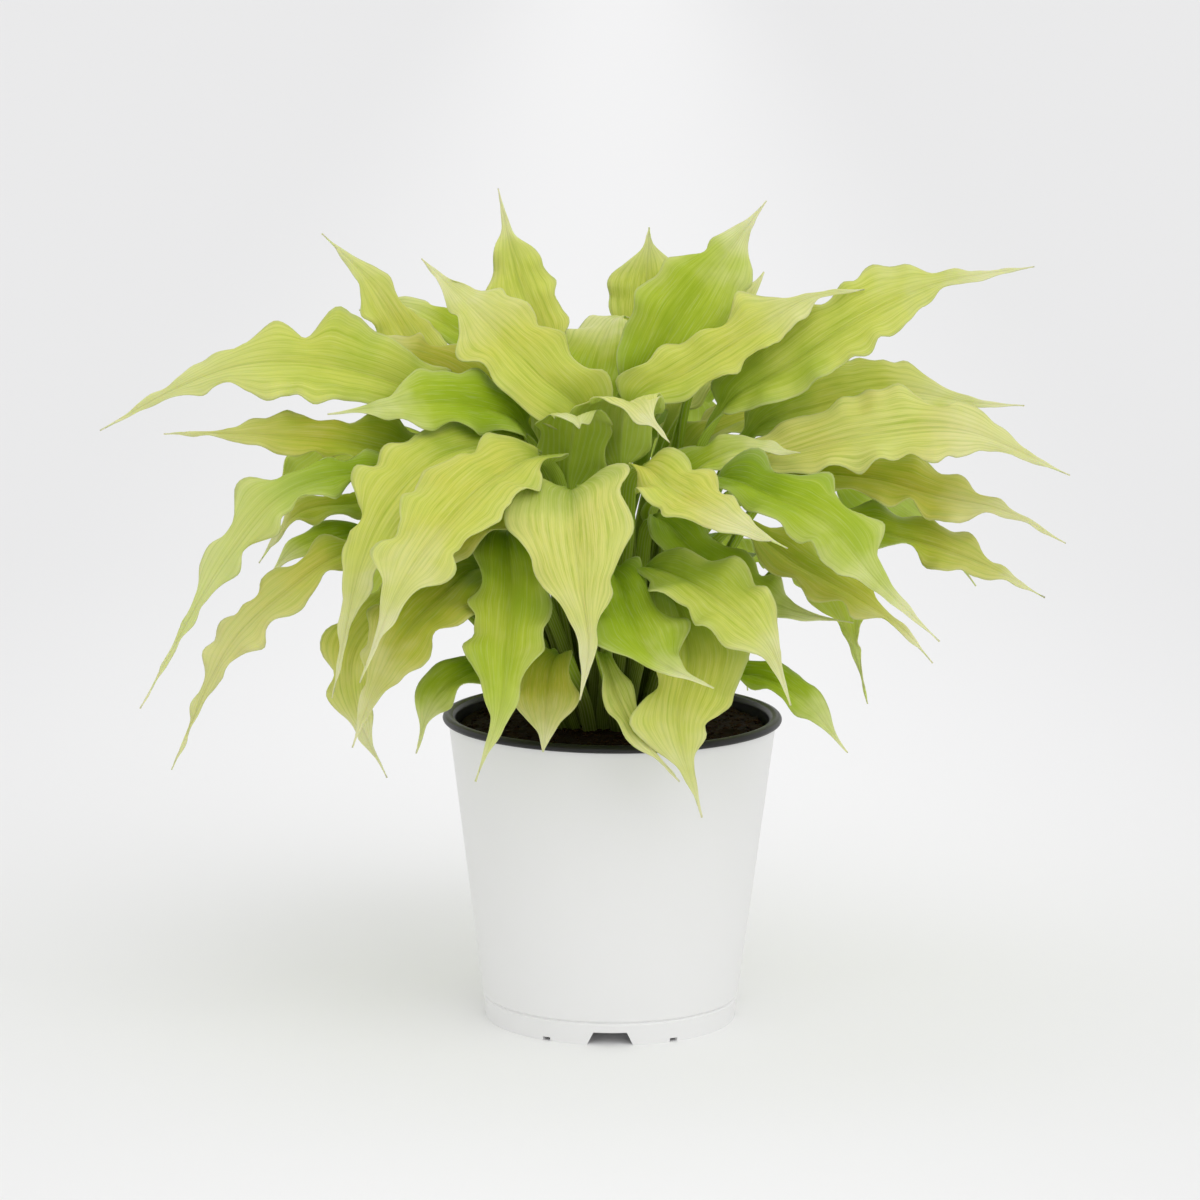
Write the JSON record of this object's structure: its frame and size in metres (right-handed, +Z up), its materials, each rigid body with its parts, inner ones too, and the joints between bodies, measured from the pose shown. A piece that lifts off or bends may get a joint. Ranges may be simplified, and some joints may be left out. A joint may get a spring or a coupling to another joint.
{
  "type": "potted hosta plant",
  "caption": "Leafy hosta with long, pointed, wavy chartreuse leaves on upright stalks, growing in a round tapered white nursery pot with a rolled black rim.",
  "frame": {"origin": "on the pot's axis, in the plane that the pot stands on", "axes": "+Z up along the pot's axis; +X along the plant's widest spread; -Y is the side it is seen from"},
  "size_m": [0.4648, 0.3703, 0.4001],
  "materials": {
    "pot_white": "smooth satin white plastic",
    "pot_black": "satin black plastic with a rolled rim",
    "soil": "moist dark potting mix of bark, peat and fibres",
    "crown": "fibrous rootstock with old leaf scales",
    "leaf_lime": "satin lime yellow leaf with lengthwise veins",
    "leaf_green": "satin mid green leaf with lengthwise veins",
    "leaf_olive": "satin yellow olive leaf with lengthwise veins",
    "leaf_pale": "satin pale cream green leaf with lengthwise veins"
  },
  "bodies": {
    "root": {"pot_outer": "pot_white", "pot_inner": "pot_black", "soil": "soil", "crown": "crown", "leaf_front_3": "leaf_lime", "leaf_low_3": "leaf_pale", "leaf_low_2": "leaf_olive", "leaf_low_1": "leaf_green", "leaf_front_15": "leaf_green", "leaf_front_4": "leaf_green", "leaf_front_2": "leaf_green", "leaf_front_9": "leaf_lime", "leaf_front_7": "leaf_olive", "leaf_front_14": "leaf_lime", "leaf_left_4": "leaf_olive", "leaf_left_7": "leaf_green", "leaf_left_6": "leaf_olive", "leaf_front_12": "leaf_olive", "leaf_front_13": "leaf_green", "leaf_front_8": "leaf_olive", "leaf_front_1": "leaf_pale", "leaf_front_11": "leaf_green", "leaf_front_5": "leaf_lime", "leaf_front_6": "leaf_lime", "leaf_front_10": "leaf_lime", "leaf_left_3": "leaf_green", "leaf_right_6": "leaf_olive", "leaf_right_5": "leaf_olive", "leaf_left_2": "leaf_olive", "leaf_left_5": "leaf_green", "leaf_centre_1": "leaf_green", "leaf_centre_2": "leaf_pale", "leaf_right_4": "leaf_pale", "leaf_right_3": "leaf_lime", "leaf_left_1": "leaf_lime", "leaf_left_8": "leaf_olive", "leaf_right_1": "leaf_lime", "leaf_right_2": "leaf_lime", "leaf_top_3": "leaf_lime", "leaf_top_7": "leaf_green", "leaf_top_5": "leaf_green", "leaf_top_4": "leaf_lime", "leaf_top_6": "leaf_lime", "leaf_top_1": "leaf_lime", "leaf_top_2": "leaf_green", "leaf_top_8": "leaf_pale", "leaf_back_1": "leaf_lime", "leaf_back_2": "leaf_green", "leaf_back_3": "leaf_lime", "leaf_back_4": "leaf_olive", "leaf_back_5": "leaf_green", "leaf_back_6": "leaf_olive", "leaf_back_7": "leaf_green", "leaf_back_8": "leaf_lime", "leaf_back_9": "leaf_olive", "leaf_back_10": "leaf_lime", "leaf_back_11": "leaf_pale", "leaf_back_12": "leaf_green", "leaf_left_9": "leaf_green", "leaf_right_7": "leaf_green"}
  },
  "joints": []
}
